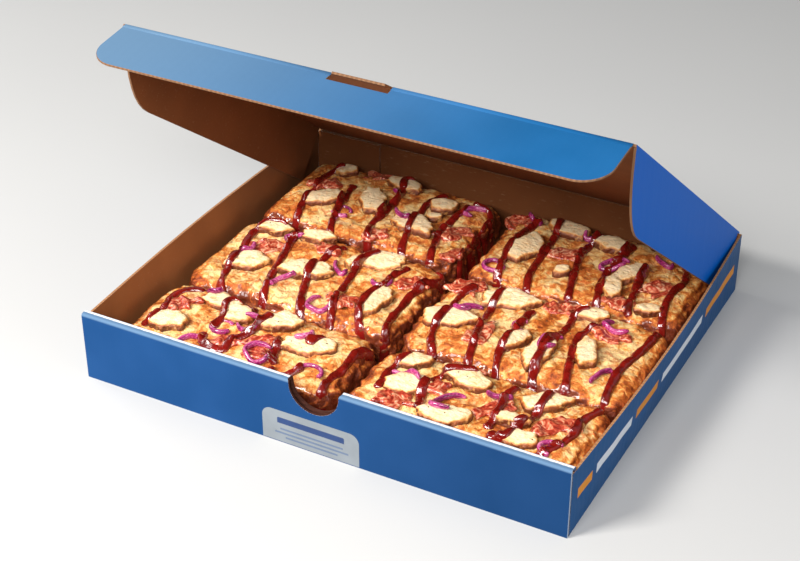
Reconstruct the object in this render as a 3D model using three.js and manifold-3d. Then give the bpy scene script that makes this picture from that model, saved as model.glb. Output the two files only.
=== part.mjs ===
// A rectangular pizza, cut into two columns of three, in a shallow folded-board box.
// Millimetres, +Z up. X runs along the front wall, Y from the front to the hinge.
// The origin is the middle of the box's underside.

import * as THREE from 'three';
import { mergeVertices } from 'three/addons/utils/BufferGeometryUtils.js';
import Module from 'manifold-3d';

const wasm = await Module();
wasm.setup();

// ---------- driving dimensions ----------

const GAP = 0.3;
const BOARD = 1.6;

const BOX_WIDTH = 360;
const BOX_DEPTH = 318;
const SIDE_HEIGHT = 48.2;
const SIDE_BOW = 5;
const SIDE_WALL_START = 2.4;
const REAR_CORNER_FLAP = 57;
const FRONT_HEIGHT = 52.2;
const FRONT_THICKNESS = 6.5;
const FRONT_ROUND = 1.8;
const NOTCH_RADIUS = 18.5;
const NOTCH_DEPTH = 21;
const NOTCH_LIP = 1.5;
const NOTCH_MIDDLE = 2;

const LID_ANGLE = 37.3;
const LID_WIDTH = 356;
const LID_LENGTH = 308;
const SIDE_FLAP_DEPTH = 46;
const SIDE_FLAP_START = 4;
const SIDE_FLAP_CUT = 56;
const TAB_WIDTH = 41;
const TAB_LENGTH = 6.5;
const TAB_SLANT = 2;
const SIDE_FLAP_TAPER = 2;
const SIDE_FLAP_NOSE = 4;

const FLAP_ANGLE = 44;
const FLAP_LENGTH = 46;
const FLAP_WIDTH = 352;
const FLAP_ROUND = 20;
const CREASE_GAP = 1.5;
const SLOT_MARGIN = 0.8;

const SLICE_FOOT = 3.5;
const SLICE_SHOULDER = 15;
const SLICE_HEIGHT = 26;
const SHOULDER_WIDTH = 13;
const SLICE_CORNER = 15;
const RELIEF_FADE = 9;
const SMALLEST_CORNER = 3;
const CORNER_STEPS = 3;
const LONG_SIDE_STEPS = 6;
const SHORT_SIDE_STEPS = 4;
// The outline wavers inwards by up to this share of its size, with this much turn from point to point.
const OUTLINE_WAVER = 0.006;
const WAVER_TURN = 1.7;
// Rings up the side of a slice: inset and height. Then rings over its top: inset.
const SIDE_RINGS = [[0.6, 3.5], [0, 9]];
const TOP_RINGS = [2, 6.5, 14, 27];
// Waves of a baked top: height and length of a swell along X, one along Y, and a slanting ripple.
const SWELL_X = { height: 0.8, length: 13 };
const SWELL_Y = { height: 0.7, length: 11 };
const RIPPLE = { height: 0.4, length: 7 };

const CHICKEN_THICKNESS = 7.5;
const CHICKEN_SINK = 1.8;
const BACON_THICKNESS = 4.2;
const BACON_SINK = 1.6;
const ONION_THICKNESS = 3.4;
const ONION_SINK = 0.4;
const ONION_FLATNESS = 0.85;
const ONION_SIDES = 6;
const ONION_STEPS = 10;

const SLAB_SIDES = 12;
const SLAB_SQUARENESS = 2.6;
const SLAB_FLATTER_SIDE = 0.86;
const SLAB_FOOT_DEPTH = 4;
const SLAB_FOOT_SCALE = 0.94;
const SLAB_EDGE_DROP = 1.4;
const SLAB_TOP_SCALE = 0.9;
const WAVE_LENGTH = 3;
// How uneven each kind's outline and top are, and how its outlines differ from piece to piece.
const CHICKEN_SHAPE = { raggedness: 0.04, waviness: 0, phaseStep: 1.3 };
const BACON_SHAPE = { raggedness: 0.1, waviness: 0.5, phaseStep: 2.1 };

// Each slice: name, middle (x, y), width, depth, turn in degrees, phase of its uneven top.
const SLICES = [
  ['slice_front_left', -88, -95.6, 172, 78, 0.2, 0.4],
  ['slice_front_right', 88.5, -95.8, 169, 78, -0.2, 1.9],
  ['slice_middle_left', -86.5, -4.6, 174, 101, 0, 3.1],
  ['slice_middle_right', 89, -4.4, 170, 101, 0.2, 4.6],
  ['slice_rear_left', -89.5, 99.4, 168, 103, 0.4, 5.8],
  ['slice_rear_right', 90, 99.2, 166, 103, -0.6, 7.3],
];

// Each piece of chicken: middle (x, y), length, width, turn in degrees.
const CHICKEN = [
  [-143, -112, 28, 19, 25], [-125, -73, 32, 17, 0], [-73, -79, 30, 18, 30], [-42, -92, 36, 18, 24],
  [72, -76, 36, 19, -6], [77, -120, 36, 18, 22], [40, -100, 32, 18, 30],
  [127, -75, 30, 17, 32], [127, -120, 26, 15, 20],
  [-142, 30, 25, 15, 10], [-139, -17, 32, 19, 22], [-91, -10, 38, 21, 20],
  [-108, 34, 24, 13, 16], [-50, 28, 36, 19, 20], [-29, -23, 36, 19, 78],
  [29, -17, 34, 19, 24], [55, 24, 40, 19, 18], [101, -26, 32, 18, 92],
  [115, 35, 25, 14, 18], [130, -12, 31, 16, 100],
  [-134, 86, 30, 17, 42], [-96, 100, 36, 20, 112], [-87, 136, 30, 15, -12],
  [-54, 84, 36, 21, -6], [-44, 119, 22, 15, 20],
  [38, 93, 34, 20, 75], [54, 134, 36, 19, -4], [91, 127, 29, 16, -8], [117, 96, 32, 17, 68],
];

// Each piece of bacon: middle (x, y), length, width, turn in degrees.
const BACON = [
  [-147, -90, 21, 13, 45], [-72, -103, 22, 14, 30],
  [99, -96, 23, 12, 70], [145, -96, 24, 16, 30],
  [-134, 6, 23, 17, 40], [-92, 22, 17, 11, 0], [-16, 10, 20, 14, 50],
  [56, -23, 25, 15, 85], [91, 32, 19, 13, 20], [134, 18, 21, 13, 0],
  [-143, 110, 22, 13, 30], [-24, 94, 23, 16, 60],
  [15, 131, 20, 16, 20], [65, 102, 22, 13, 25], [142, 87, 23, 15, 30],
];

// Each curl of onion: middle (x, y), radius, width over length, start and sweep in degrees.
const ONION = [
  [-27, -116, 9, 0.8, -20, 230], [-108, -98, 8, 0.9, 40, 300],
  [151, -118, 9, 0.75, 60, 210], [-37, 4, 7, 0.9, 200, 240],
  [79, 0, 9, 0.7, 100, 200], [-114, 80, 8, 0.85, 10, 320], [25, 62, 8, 0.9, 70, 310],
];

// ---------- materials ----------

const blueBoard = new THREE.MeshStandardMaterial({ color: 0x2b63ad, roughness: 0.45, metalness: 0 });
const lidBoard = new THREE.MeshStandardMaterial({ color: 0x2a5fb0, roughness: 0.45, metalness: 0 });
const flapBoard = new THREE.MeshStandardMaterial({ color: 0x4a8fd0, roughness: 0.45, metalness: 0 });
const dough = new THREE.MeshStandardMaterial({ color: 0xd9a860, roughness: 0.5, metalness: 0 });
const chicken = new THREE.MeshStandardMaterial({ color: 0xf0d5a4, roughness: 0.5, metalness: 0 });
const bacon = new THREE.MeshStandardMaterial({ color: 0xc9604e, roughness: 0.4, metalness: 0 });
const onion = new THREE.MeshStandardMaterial({ color: 0x93346f, roughness: 0.35, metalness: 0 });

// ---------- solids ----------

function solidOf(geometry) {
  const bare = geometry.clone();
  bare.deleteAttribute('normal');
  bare.deleteAttribute('uv');
  const merged = mergeVertices(bare, 1e-4);
  return new wasm.Manifold(new wasm.Mesh({
    numProp: 3,
    vertProperties: new Float32Array(merged.attributes.position.array),
    triVerts: new Uint32Array(merged.index.array),
  }));
}

function geometryOf(solid) {
  const mesh = solid.getMesh();
  const geometry = new THREE.BufferGeometry();
  geometry.setAttribute('position', new THREE.BufferAttribute(mesh.vertProperties, 3));
  geometry.setIndex(new THREE.BufferAttribute(mesh.triVerts, 1));
  return geometry;
}

function joined(solids) {
  return solids.reduce((all, next) => all.add(next));
}

function largestBody(solid) {
  const bodies = solid.decompose();
  return bodies.reduce((best, next) => (next.volume() > best.volume() ? next : best));
}

function block(low, high) {
  const size = high.map((value, axis) => value - low[axis]);
  const geometry = new THREE.BoxGeometry(...size);
  geometry.translate(...low.map((value, axis) => value + size[axis] / 2));
  return solidOf(geometry);
}

function extrudeAlong(shape, length, across, up, start) {
  const geometry = new THREE.ExtrudeGeometry(shape, { depth: length, bevelEnabled: false, curveSegments: 8 });
  const forward = new THREE.Vector3().crossVectors(across, up);
  geometry.applyMatrix4(new THREE.Matrix4().makeBasis(across, up, forward));
  geometry.translate(...start);
  return solidOf(geometry);
}

const X_AXIS = new THREE.Vector3(1, 0, 0);
const Y_AXIS = new THREE.Vector3(0, 1, 0);
const Z_AXIS = new THREE.Vector3(0, 0, 1);

function creaseNose(width, y) {
  const nose = new THREE.CylinderGeometry(BOARD / 2, BOARD / 2, width, 12);
  nose.rotateZ(Math.PI / 2);
  nose.translate(0, y, 0);
  return solidOf(nose);
}

// ---------- tray ----------

// A side wall stands straight at its ends and leans out at mid length, most along its top edge.
function sideWall(side) {
  const front = -BOX_DEPTH / 2 + SIDE_WALL_START;
  const back = BOX_DEPTH / 2;
  const length = back - front;
  const geometry = new THREE.BoxGeometry(BOARD, length, SIDE_HEIGHT, 1, 10, 1);
  const middle = side * (BOX_WIDTH - BOARD) / 2;
  geometry.translate(middle, (front + back) / 2, SIDE_HEIGHT / 2);
  const position = geometry.attributes.position;
  for (let i = 0; i < position.count; i += 1) {
    const along = (position.getY(i) - front) / length;
    const lean = SIDE_BOW * Math.sin(Math.PI * along) * (position.getZ(i) / SIDE_HEIGHT);
    position.setX(i, position.getX(i) + side * lean);
  }
  return solidOf(geometry);
}

// The front wall is one board rolled over itself: two sheets joined by a rounded top.
function rolledFrontWall() {
  const t = FRONT_THICKNESS;
  const r = FRONT_ROUND;
  const profile = new THREE.Shape();
  profile.moveTo(0, 0);
  profile.lineTo(BOARD, 0);
  profile.lineTo(BOARD, FRONT_HEIGHT - BOARD);
  profile.lineTo(t - BOARD, FRONT_HEIGHT - BOARD);
  profile.lineTo(t - BOARD, 0);
  profile.lineTo(t, 0);
  profile.lineTo(t, FRONT_HEIGHT - r);
  profile.absarc(t - r, FRONT_HEIGHT - r, r, 0, Math.PI / 2, false);
  profile.lineTo(r, FRONT_HEIGHT);
  profile.absarc(r, FRONT_HEIGHT - r, r, Math.PI / 2, Math.PI, false);
  const start = [-BOX_WIDTH / 2, -BOX_DEPTH / 2, 0];
  return extrudeAlong(profile, BOX_WIDTH, Y_AXIS, Z_AXIS, start);
}

function thumbNotch() {
  const centre = FRONT_HEIGHT - NOTCH_DEPTH + NOTCH_RADIUS;
  const mouth = NOTCH_RADIUS + NOTCH_LIP;
  const outline = new THREE.Shape();
  outline.moveTo(-mouth, FRONT_HEIGHT + 1);
  outline.lineTo(-mouth, FRONT_HEIGHT);
  outline.quadraticCurveTo(-NOTCH_RADIUS, FRONT_HEIGHT, -NOTCH_RADIUS, centre);
  outline.absarc(0, centre, NOTCH_RADIUS, Math.PI, 2 * Math.PI, false);
  outline.quadraticCurveTo(NOTCH_RADIUS, FRONT_HEIGHT, mouth, FRONT_HEIGHT);
  outline.lineTo(mouth, FRONT_HEIGHT + 1);
  const start = [NOTCH_MIDDLE, -BOX_DEPTH / 2 + FRONT_THICKNESS + 1, 0];
  return extrudeAlong(outline, FRONT_THICKNESS + 2, X_AXIS, Z_AXIS, start);
}

function traySolid() {
  const halfWidth = BOX_WIDTH / 2;
  const halfDepth = BOX_DEPTH / 2;
  const base = block([-halfWidth, -halfDepth, 0], [halfWidth, halfDepth, BOARD]);
  const backWall = block([-halfWidth, halfDepth - BOARD, 0], [halfWidth, halfDepth, SIDE_HEIGHT]);
  const cornerFlap = (side) => {
    const outer = side * (halfWidth - BOARD / 2);
    const inner = side * (halfWidth - BOARD - REAR_CORNER_FLAP);
    return block(
      [Math.min(outer, inner), halfDepth - 2 * BOARD, BOARD / 2],
      [Math.max(outer, inner), halfDepth - BOARD / 2, SIDE_HEIGHT - GAP],
    );
  };
  const walls = [sideWall(-1), sideWall(1), cornerFlap(-1), cornerFlap(1), rolledFrontWall()];
  return joined([base, backWall, ...walls]).subtract(thumbNotch());
}

// ---------- lid, drawn shut: it runs from its hinge at y = 0 towards -Y ----------

function lidOutline() {
  const half = LID_WIDTH / 2;
  const tab = TAB_WIDTH / 2;
  const outline = new THREE.Shape();
  outline.moveTo(-half, 0);
  outline.lineTo(-half, -LID_LENGTH);
  outline.lineTo(-tab, -LID_LENGTH);
  outline.lineTo(-tab + TAB_SLANT, -LID_LENGTH - TAB_LENGTH);
  outline.lineTo(tab - TAB_SLANT, -LID_LENGTH - TAB_LENGTH);
  outline.lineTo(tab, -LID_LENGTH);
  outline.lineTo(half, -LID_LENGTH);
  outline.lineTo(half, 0);
  return outline;
}

function lidSideFlap(side) {
  const front = -LID_LENGTH + 1;
  const outline = new THREE.Shape();
  outline.moveTo(-SIDE_FLAP_START, 0);
  outline.lineTo(-SIDE_FLAP_START - SIDE_FLAP_TAPER, -SIDE_FLAP_DEPTH);
  outline.lineTo(front + SIDE_FLAP_CUT, -SIDE_FLAP_DEPTH);
  const bend = [front + SIDE_FLAP_CUT / 2, -SIDE_FLAP_DEPTH];
  outline.quadraticCurveTo(...bend, front + SIDE_FLAP_TAPER, -SIDE_FLAP_NOSE);
  outline.lineTo(front, 0);
  const left = side > 0 ? LID_WIDTH / 2 - BOARD : -LID_WIDTH / 2;
  return extrudeAlong(outline, BOARD, Y_AXIS, Z_AXIS, [left, 0, 0]);
}

function lidSolid() {
  const panel = extrudeAlong(lidOutline(), BOARD, X_AXIS, Y_AXIS, [0, 0, -BOARD / 2]);
  const parts = [panel, creaseNose(LID_WIDTH, 0), lidSideFlap(-1), lidSideFlap(1)];
  return joined(parts);
}

// ---------- front flap, drawn flat: it runs from its crease at y = 0 towards -Y ----------

function frontFlapSolid() {
  const half = FLAP_WIDTH / 2;
  const slot = TAB_WIDTH / 2 + SLOT_MARGIN;
  const slotDepth = TAB_LENGTH + SLOT_MARGIN;
  const r = FLAP_ROUND;
  const outline = new THREE.Shape();
  outline.moveTo(-half, -CREASE_GAP);
  outline.lineTo(-half, -FLAP_LENGTH + r);
  outline.absarc(-half + r, -FLAP_LENGTH + r, r, Math.PI, 1.5 * Math.PI, false);
  outline.absarc(half - r, -FLAP_LENGTH + r, r, 1.5 * Math.PI, 2 * Math.PI, false);
  outline.lineTo(half, -CREASE_GAP);
  outline.lineTo(slot, -CREASE_GAP);
  outline.lineTo(slot, -slotDepth);
  outline.lineTo(-slot, -slotDepth);
  outline.lineTo(-slot, -CREASE_GAP);
  return extrudeAlong(outline, BOARD, X_AXIS, Y_AXIS, [0, 0, -BOARD / 2]);
}

// ---------- pizza slices ----------

// How far a point lies inside a rounded rectangle.
function insetFromEdge(x, y, halfWidth, halfDepth, corner) {
  const qx = Math.abs(x) - (halfWidth - corner);
  const qy = Math.abs(y) - (halfDepth - corner);
  const outside = Math.hypot(Math.max(qx, 0), Math.max(qy, 0));
  return corner - outside - Math.min(Math.max(qx, qy), 0);
}

// The crust's cross-section: steep at the shoulder, then level.
function crown(inset) {
  const reach = Math.min(Math.max(inset / SHOULDER_WIDTH, 0), 1);
  return SLICE_SHOULDER + (SLICE_HEIGHT - SLICE_SHOULDER) * Math.sqrt(1 - (1 - reach) ** 2);
}

// The baked top swells and dips by a millimetre or so, fading out towards the edge.
function relief(x, y, phase, inset) {
  const alongX = SWELL_X.height * Math.sin(x / SWELL_X.length + phase);
  const alongY = SWELL_Y.height * Math.sin(y / SWELL_Y.length + 2 * phase);
  const ripple = RIPPLE.height * Math.sin((x + y) / RIPPLE.length + 3 * phase);
  return (alongX + alongY + ripple) * Math.min(inset / RELIEF_FADE, 1);
}

function topHeight(slice, x, y) {
  const [, middleX, middleY, width, depth, turn, phase] = slice;
  const angle = THREE.MathUtils.degToRad(-turn);
  const u = (x - middleX) * Math.cos(angle) - (y - middleY) * Math.sin(angle);
  const v = (x - middleX) * Math.sin(angle) + (y - middleY) * Math.cos(angle);
  const inset = insetFromEdge(u, v, width / 2, depth / 2, SLICE_CORNER);
  return crown(inset) + relief(u, v, phase, Math.max(inset, 0));
}

// One loop of a slice's outline: a rounded rectangle whose edge wavers a little inwards.
function outlineRing(width, depth, inset, phase) {
  const corner = Math.max(SLICE_CORNER - inset, SMALLEST_CORNER);
  const cx = width / 2 - inset - corner;
  const cy = depth / 2 - inset - corner;
  const ring = [];
  for (let quarter = 0; quarter < 4; quarter += 1) {
    const signX = quarter === 0 || quarter === 3 ? 1 : -1;
    const signY = quarter < 2 ? 1 : -1;
    for (let step = 0; step <= CORNER_STEPS; step += 1) {
      const angle = (Math.PI / 2) * (quarter + step / CORNER_STEPS);
      ring.push([signX * cx + corner * Math.cos(angle), signY * cy + corner * Math.sin(angle)]);
    }
    const alongX = quarter % 2 === 0;
    const steps = alongX ? LONG_SIDE_STEPS : SHORT_SIDE_STEPS;
    const from = ring[ring.length - 1];
    const to = alongX ? [-from[0], from[1]] : [from[0], -from[1]];
    for (let step = 1; step < steps; step += 1) {
      const part = step / steps;
      ring.push([from[0] + (to[0] - from[0]) * part, from[1] + (to[1] - from[1]) * part]);
    }
  }
  return ring.map(([x, y], index) => {
    const waver = OUTLINE_WAVER * (1 + Math.sin(index * WAVER_TURN + phase));
    return [x * (1 - waver), y * (1 - waver)];
  });
}

function sliceGeometry(width, depth, phase) {
  const level = (inset) => (x, y) => crown(inset) + relief(x, y, phase, inset);
  const flat = (height) => () => height;
  const layers = [
    [SLICE_FOOT, flat(0)],
    ...SIDE_RINGS.map(([inset, height]) => [inset, flat(height)]),
    [0, flat(SLICE_SHOULDER)],
    ...TOP_RINGS.map((inset) => [inset, level(inset)]),
  ];
  const rings = layers.map(([inset, height]) =>
    outlineRing(width, depth, inset, phase).map(([x, y]) => [x, y, height(x, y)]));
  return lofted(rings);
}

// A closed skin through rings of equal length, with a fan over each end.
function lofted(rings) {
  const count = rings[0].length;
  const points = rings.flat();
  const faces = [];
  for (let row = 0; row + 1 < rings.length; row += 1) {
    for (let i = 0; i < count; i += 1) {
      const next = (i + 1) % count;
      const a = row * count + i;
      const b = row * count + next;
      faces.push(a, b, b + count, a, b + count, a + count);
    }
  }
  const addFan = (ring, first, outward) => {
    const middle = [0, 1, 2].map((axis) => ring.reduce((sum, p) => sum + p[axis], 0) / count);
    points.push(middle);
    const tip = points.length - 1;
    for (let i = 0; i < count; i += 1) {
      const next = (i + 1) % count;
      const pair = outward ? [first + i, first + next] : [first + next, first + i];
      faces.push(...pair, tip);
    }
  };
  addFan(rings[0], 0, false);
  addFan(rings[rings.length - 1], (rings.length - 1) * count, true);
  const geometry = new THREE.BufferGeometry();
  geometry.setAttribute('position', new THREE.Float32BufferAttribute(points.flat(), 3));
  geometry.setIndex(faces);
  return geometry;
}

function placed(geometry, x, y, z, turn) {
  geometry.rotateZ(THREE.MathUtils.degToRad(turn));
  geometry.translate(x, y, z);
  return solidOf(geometry);
}

// ---------- toppings ----------

// A sliced piece: a slab with a full side, a flatter side and an eased upper edge.
function slabGeometry(length, width, thickness, sink, shape, index) {
  const phase = index * shape.phaseStep;
  const power = SLAB_SQUARENESS;
  const ring = (scale, height) => Array.from({ length: SLAB_SIDES }, (_, i) => {
    const angle = (2 * Math.PI * i) / SLAB_SIDES;
    const ragged = 1 + shape.raggedness * Math.sin(3 * angle + phase);
    const reach = Math.abs(Math.cos(angle)) ** power + Math.abs(Math.sin(angle)) ** power;
    const squared = 1 / reach ** (1 / power);
    const x = (length / 2) * squared * Math.cos(angle) * scale * ragged;
    const full = Math.sin(angle) > 0 ? 1 : SLAB_FLATTER_SIDE;
    const y = (width / 2) * squared * Math.sin(angle) * full * scale * ragged;
    return [x, y, height + shape.waviness * Math.sin(x / WAVE_LENGTH + phase)];
  });
  const top = thickness - sink;
  return lofted([
    ring(SLAB_FOOT_SCALE, -sink - SLAB_FOOT_DEPTH),
    ring(1, top - SLAB_EDGE_DROP),
    ring(SLAB_TOP_SCALE, top),
  ]);
}

// An onion strip: an arc with its ends cut off square, flatter one way than the other.
function curlGeometry(radius, squash, start, sweep) {
  const half = ONION_THICKNESS / 2;
  const section = new THREE.Shape(Array.from({ length: ONION_SIDES }, (_, i) => {
    const angle = (2 * Math.PI * i) / ONION_SIDES;
    return new THREE.Vector2(half * Math.cos(angle), half * ONION_FLATNESS * Math.sin(angle));
  }));
  const points = Array.from({ length: ONION_STEPS + 1 }, (_, i) => {
    const angle = THREE.MathUtils.degToRad(start + (sweep * i) / ONION_STEPS);
    return new THREE.Vector3(radius * Math.cos(angle), squash * radius * Math.sin(angle), 0);
  });
  const path = new THREE.CatmullRomCurve3(points);
  const options = { steps: ONION_STEPS, extrudePath: path, bevelEnabled: false };
  return new THREE.ExtrudeGeometry(section, options);
}

function sliceUnder(x, y) {
  return SLICES.find(([, middleX, middleY, width, depth]) =>
    Math.abs(x - middleX) < width / 2 && Math.abs(y - middleY) < depth / 2);
}

// A topping loses what would reach into its slice, less a hair's clearance.
function restedOn(sliceSolid, toppingSolid) {
  return largestBody(toppingSolid.subtract(sliceSolid.translate([0, 0, GAP])));
}

// ---------- the object ----------

function named(name, geometry, material) {
  const mesh = new THREE.Mesh(geometry, material);
  mesh.name = name;
  return mesh;
}

function numbered(kind, index) {
  return `${kind}_${String(index + 1).padStart(2, '0')}`;
}

function buildLid() {
  const hinge = new THREE.Group();
  hinge.position.set(0, BOX_DEPTH / 2 - BOARD / 2, SIDE_HEIGHT + GAP + BOARD / 2);
  hinge.rotation.x = -THREE.MathUtils.degToRad(LID_ANGLE);
  hinge.add(named('lid', geometryOf(lidSolid()), lidBoard));
  const crease = new THREE.Group();
  crease.position.y = -LID_LENGTH;
  crease.rotation.x = THREE.MathUtils.degToRad(FLAP_ANGLE);
  crease.add(named('lid_front_flap', geometryOf(frontFlapSolid()), flapBoard));
  hinge.add(crease);
  return hinge;
}

function buildPizza() {
  const pizza = new THREE.Group();
  const floor = BOARD + GAP;
  const solids = new Map();
  for (const slice of SLICES) {
    const [name, x, y, width, depth, turn, phase] = slice;
    const solid = placed(sliceGeometry(width, depth, phase), x, y, floor, turn);
    solids.set(slice, solid);
    pizza.add(named(name, geometryOf(solid), dough));
  }
  const top = (slice, x, y) => floor + topHeight(slice, x, y);
  CHICKEN.forEach(([x, y, length, width, turn], index) => {
    const slice = sliceUnder(x, y);
    const slab = slabGeometry(length, width, CHICKEN_THICKNESS, CHICKEN_SINK, CHICKEN_SHAPE, index);
    const solid = restedOn(solids.get(slice), placed(slab, x, y, top(slice, x, y), turn));
    pizza.add(named(numbered('chicken', index), geometryOf(solid), chicken));
  });
  BACON.forEach(([x, y, length, width, turn], index) => {
    const slice = sliceUnder(x, y);
    const slab = slabGeometry(length, width, BACON_THICKNESS, BACON_SINK, BACON_SHAPE, index);
    const solid = restedOn(solids.get(slice), placed(slab, x, y, top(slice, x, y), turn));
    pizza.add(named(numbered('bacon', index), geometryOf(solid), bacon));
  });
  ONION.forEach(([x, y, radius, squash, start, sweep], index) => {
    const slice = sliceUnder(x, y);
    const height = top(slice, x, y) + ONION_THICKNESS / 2 - ONION_SINK;
    const curl = placed(curlGeometry(radius, squash, start, sweep), x, y, height, 0);
    pizza.add(named(numbered('onion', index), geometryOf(restedOn(solids.get(slice), curl)), onion));
  });
  return pizza;
}

const group = new THREE.Group();
group.add(named('tray', geometryOf(traySolid()), blueBoard));
group.add(buildPizza());
group.add(buildLid());

export default group;
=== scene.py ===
# A rectangular pizza in two columns of three, in an open folded-board box.
# Metres, +Z up. X runs along the front wall, Y from the front to the hinge.

import math
import random

import bmesh
import bpy
import numpy as np
from mathutils import Matrix, Vector, noise
from mathutils.bvhtree import BVHTree


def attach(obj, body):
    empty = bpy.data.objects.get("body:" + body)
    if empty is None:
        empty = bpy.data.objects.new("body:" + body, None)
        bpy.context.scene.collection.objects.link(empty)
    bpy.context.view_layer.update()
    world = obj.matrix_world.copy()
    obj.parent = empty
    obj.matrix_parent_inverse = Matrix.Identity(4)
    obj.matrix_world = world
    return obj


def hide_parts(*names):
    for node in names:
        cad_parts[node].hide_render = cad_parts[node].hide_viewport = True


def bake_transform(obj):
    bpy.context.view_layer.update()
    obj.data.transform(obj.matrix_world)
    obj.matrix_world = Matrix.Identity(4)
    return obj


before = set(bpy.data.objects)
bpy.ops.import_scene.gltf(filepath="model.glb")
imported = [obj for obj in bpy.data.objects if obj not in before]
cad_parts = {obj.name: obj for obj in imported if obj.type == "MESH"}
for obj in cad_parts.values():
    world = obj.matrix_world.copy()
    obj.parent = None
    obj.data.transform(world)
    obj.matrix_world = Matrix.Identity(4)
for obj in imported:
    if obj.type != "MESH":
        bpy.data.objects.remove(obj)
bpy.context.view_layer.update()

MM = 0.001
UP = Vector((0, 0, 1))
DOWN = Vector((0, 0, -1))
random.seed(11)

# ---------- sizes ----------

BOARD = 1.6 * MM
HALF_WIDTH = 180 * MM
FRONT_FACE = -159 * MM
FRONT_INNER = -152.5 * MM
FRONT_TOP = 52.1 * MM
WALL_BACK = 159 * MM
HINGE = Vector((0, 158.2, 49.3)) * MM
LID_ANGLE = math.radians(37.3)
LID_LENGTH = 308 * MM
LID_WIDTH = 356 * MM
FLAP_ANGLE = math.radians(44)
FLAP_WIDTH = 352 * MM
NOTCH_MIDDLE = 2 * MM
NOTCH_HALF = 21 * MM
NOTCH_BOTTOM = 30 * MM
TAB_HALF = 21.3 * MM
FLUTE = 6.6 * MM
# How far the strip over the flap's crease reaches onto the lid and onto the flap.
CREASE_ON_LID = 1.6 * MM
CREASE_ON_FLAP = 3.2 * MM
TRAY_FLOOR = 2 * MM

LID_FRAME = Matrix.Translation(HINGE) @ Matrix.Rotation(-LID_ANGLE, 4, "X")
FLAP_FRAME = (
    LID_FRAME
    @ Matrix.Translation((0, -LID_LENGTH, 0))
    @ Matrix.Rotation(FLAP_ANGLE, 4, "X")
)

SLICES = [
    "slice_front_left", "slice_front_right", "slice_middle_left",
    "slice_middle_right", "slice_rear_left", "slice_rear_right",
]


def nodes_named(start):
    return sorted(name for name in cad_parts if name.startswith(start))


# ---------- shader nodes ----------


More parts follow.
